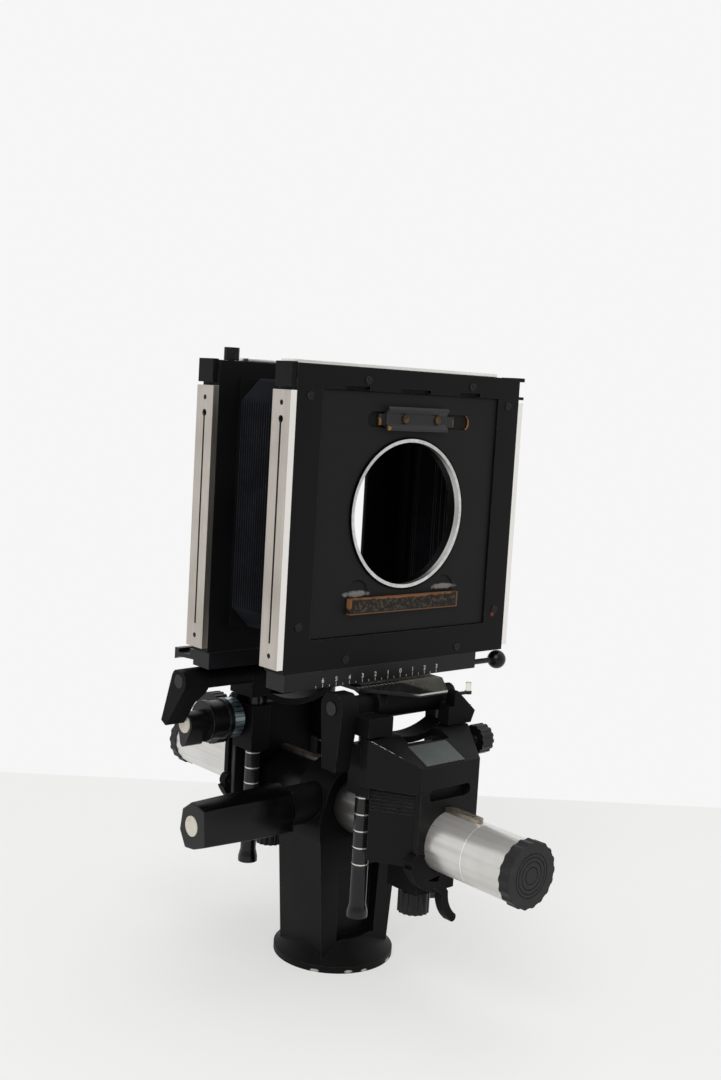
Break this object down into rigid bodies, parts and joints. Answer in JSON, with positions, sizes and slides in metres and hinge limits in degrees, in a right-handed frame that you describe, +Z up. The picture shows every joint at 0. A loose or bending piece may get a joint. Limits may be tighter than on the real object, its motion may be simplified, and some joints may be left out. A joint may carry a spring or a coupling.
{
  "type": "monorail view camera",
  "caption": "Studio view camera with two rising, shifting, tilting and swinging standards on a round rail, joined by pleated bellows, on a pedestal clamp.",
  "frame": {"origin": "centre of the tripod socket's mouth in the foot's underside, below the rail's middle", "axes": "+Z up; +Y along the rail towards the film back, so the lens board faces -Y; +X to the right of someone facing along +Y, with the clamp handle at -X"},
  "size_m": [0.2104, 0.3255, 0.3725],
  "materials": {
    "castings": "cast aluminium under satin black enamel, worn light along its edges",
    "frames": "cast aluminium frame under satin black enamel",
    "bars": "milled aluminium bar under satin black enamel, with a white scale",
    "columns": "black anodised aluminium tube with bright engraved rings",
    "rail": "polished aluminium tube",
    "rack": "dull nickelled brass rack",
    "steel": "blackened steel, bright where it rubs",
    "strips": "satin anodised aluminium, warm light grey",
    "plates": "black anodised plate with bare silver edges",
    "bellows": "thin black leather over stiffeners, pleated",
    "brass": "bare brass rivets",
    "ledge": "lacquered brass strip, worn brown",
    "graduated": "blue-grey anodised ring with engraved divisions",
    "discs": "off-white plastic disc",
    "plate_blank": "bare satin plate",
    "knobs": "turned aluminium, black anodised",
    "handle": "black moulded plastic grip",
    "shoe": "dark friction shoe"
  },
  "bodies": {
    "clamp": {"pedestal": "castings", "tripod_bush": "steel", "brake_shoe": "shoe"},
    "handle": {"clamp_handle": "handle", "handle_disc": "discs"},
    "rail": {"rail_tube": "rail", "rail_front_piece": "rail", "rail_rear_piece": "rail", "rail_front_cap": "knobs", "rail_rear_cap": "knobs", "rail_rack": "rack"},
    "front_base": {"front_base": "castings", "nameplate": "plate_blank", "front_jaw": "castings"},
    "front_cam": {"front_cam_lever": "knobs"},
    "front_lock": {"front_lock_knob": "knobs"},
    "front_rise_knob": {"front_rise_knob": "knobs"},
    "front_rise": {"front_cradle": "castings", "front_columns": "columns", "front_tilt_pin": "steel"},
    "front_tilt": {"front_tilt_head": "castings", "front_scale_plate": "plates"},
    "front_tilt_lever": {"front_tilt_lever": "knobs"},
    "front_swing": {"front_swing_plate": "steel"},
    "front_shift": {"front_bar": "bars", "front_frame": "frames", "front_strips": "strips", "front_strip_screws": "steel", "frame_screws": "steel", "lens_board": "frames", "mount_ring": "strips", "board_ledge": "ledge", "bellows_front_plate": "castings"},
    "shift_lock": {"shift_lock": "steel"},
    "latch": {"board_latch": "frames", "latch_rivets": "brass"},
    "rear_base": {"rear_base": "castings", "rear_jaw": "castings"},
    "rear_cam": {"rear_cam_lever": "knobs"},
    "rear_lock": {"rear_lock_knob": "knobs"},
    "focus_knob": {"focus_knob": "knobs", "focus_ring": "graduated"},
    "focus_lever": {"focus_lever": "knobs", "focus_lever_disc": "discs"},
    "rear_rise_knob": {"rear_rise_knob": "knobs"},
    "rear_rise": {"rear_cradle": "castings", "rear_columns": "columns", "rear_tilt_pin": "steel"},
    "rear_tilt": {"rear_tilt_head": "castings", "rear_scale_plate": "plates"},
    "rear_tilt_lever": {"rear_tilt_lever": "knobs"},
    "rear_swing": {"rear_swing_plate": "steel"},
    "rear_shift": {"rear_bar": "bars", "rear_frame": "frames", "rear_strips": "strips", "rear_strip_screws": "steel", "bellows_rear_plate": "castings", "bellows": "bellows"},
    "frame_release": {"frame_release": "knobs"}
  },
  "joints": [
    {"name": "handle_turn", "type": "hinge", "parent": "clamp", "child": "handle", "pos_m": [-0.08, 0, 0.0996], "axis": [1, 0, 0], "range_deg": [-30, 90]},
    {"name": "rail_slide", "type": "slide", "parent": "clamp", "child": "rail", "axis": [0, 1, 0], "range_m": [-0.01, 0.01]},
    {"name": "front_focus", "type": "slide", "parent": "rail", "child": "front_base", "axis": [0, 1, 0], "range_m": [-0.05, 0.01]},
    {"name": "front_cam_turn", "type": "hinge", "parent": "front_base", "child": "front_cam", "pos_m": [-0.0216, -0.0907, 0.0895], "axis": [0, 1, 0], "range_deg": [0, 60]},
    {"name": "front_lock_turn", "type": "hinge", "parent": "front_base", "child": "front_lock", "pos_m": [0, -0.07, 0.055], "axis": [0, 0, 1], "continuous": true},
    {"name": "front_rise_turn", "type": "hinge", "parent": "front_base", "child": "front_rise_knob", "pos_m": [0.0404, -0.071, 0.1472], "axis": [1, 0, 0], "range_deg": [0, 361]},
    {"name": "front_rise", "type": "slide", "parent": "front_base", "child": "front_rise", "axis": [0, 0, 1], "range_m": [0, 0.04]},
    {"name": "front_tilt", "type": "hinge", "parent": "front_rise", "child": "front_tilt", "pos_m": [0, -0.048, 0.172], "axis": [1, 0, 0], "range_deg": [-10, 20]},
    {"name": "front_tilt_lever_turn", "type": "hinge", "parent": "front_rise", "child": "front_tilt_lever", "pos_m": [-0.047, -0.048, 0.172], "axis": [1, 0, 0], "range_deg": [-30, 40]},
    {"name": "front_swing", "type": "hinge", "parent": "front_tilt", "child": "front_swing", "pos_m": [0, -0.0343, 0.1909], "axis": [0, 0, 1], "range_deg": [-15, 15]},
    {"name": "front_shift", "type": "slide", "parent": "front_swing", "child": "front_shift", "axis": [1, 0, 0], "range_m": [-0.03, 0.03], "deforming": ["bellows"]},
    {"name": "shift_lock_turn", "type": "hinge", "parent": "front_shift", "child": "shift_lock", "pos_m": [0.092, -0.0384, 0.1856], "axis": [1, 0, 0], "range_deg": [-60, 60]},
    {"name": "latch_slide", "type": "slide", "parent": "front_shift", "child": "latch", "axis": [1, 0, 0], "range_m": [-0.002, 0.007]},
    {"name": "rear_focus", "type": "slide", "parent": "rail", "child": "rear_base", "axis": [0, 1, 0], "range_m": [-0.01, 0.05]},
    {"name": "rear_cam_turn", "type": "hinge", "parent": "rear_base", "child": "rear_cam", "pos_m": [-0.0216, 0.0907, 0.0895], "axis": [0, 1, 0], "range_deg": [0, 60]},
    {"name": "rear_lock_turn", "type": "hinge", "parent": "rear_base", "child": "rear_lock", "pos_m": [0, 0.07, 0.055], "axis": [0, 0, 1], "continuous": true},
    {"name": "focus_knob_turn", "type": "hinge", "parent": "rear_base", "child": "focus_knob", "pos_m": [-0.052, 0.062, 0.141], "axis": [1, 0, 0], "range_deg": [-361, 73]},
    {"name": "focus_lever_turn", "type": "hinge", "parent": "rear_base", "child": "focus_lever", "pos_m": [-0.0714, 0.062, 0.141], "axis": [1, 0, 0], "range_deg": [-40, 40]},
    {"name": "rear_rise_turn", "type": "hinge", "parent": "rear_base", "child": "rear_rise_knob", "pos_m": [-0.0359, 0.09, 0.1337], "axis": [1, 0, 0], "range_deg": [-361, 0]},
    {"name": "rear_rise", "type": "slide", "parent": "rear_base", "child": "rear_rise", "axis": [0, 0, 1], "range_m": [0, 0.04]},
    {"name": "rear_tilt", "type": "hinge", "parent": "rear_rise", "child": "rear_tilt", "pos_m": [0, 0.048, 0.172], "axis": [1, 0, 0], "range_deg": [-20, 10]},
    {"name": "rear_tilt_lever_turn", "type": "hinge", "parent": "rear_rise", "child": "rear_tilt_lever", "pos_m": [-0.0857, 0.048, 0.172], "axis": [1, 0, 0], "range_deg": [-30, 40]},
    {"name": "rear_swing", "type": "hinge", "parent": "rear_tilt", "child": "rear_swing", "pos_m": [0, 0.0343, 0.1909], "axis": [0, 0, 1], "range_deg": [-15, 15]},
    {"name": "rear_shift", "type": "slide", "parent": "rear_swing", "child": "rear_shift", "axis": [1, 0, 0], "range_m": [-0.03, 0.03]},
    {"name": "frame_release_turn", "type": "hinge", "parent": "rear_shift", "child": "frame_release", "pos_m": [-0.075, 0.0343, 0.3687], "axis": [0, 0, 1], "range_deg": [-90, 90]}
  ],
  "couplings": [
    {"joint": "front_rise_turn", "follows": "front_rise", "rad_per_m": 157.08},
    {"joint": "rear_rise_turn", "follows": "rear_rise", "rad_per_m": -157.08},
    {"joint": "focus_knob_turn", "follows": "rear_focus", "rad_per_m": -125.66}
  ]
}
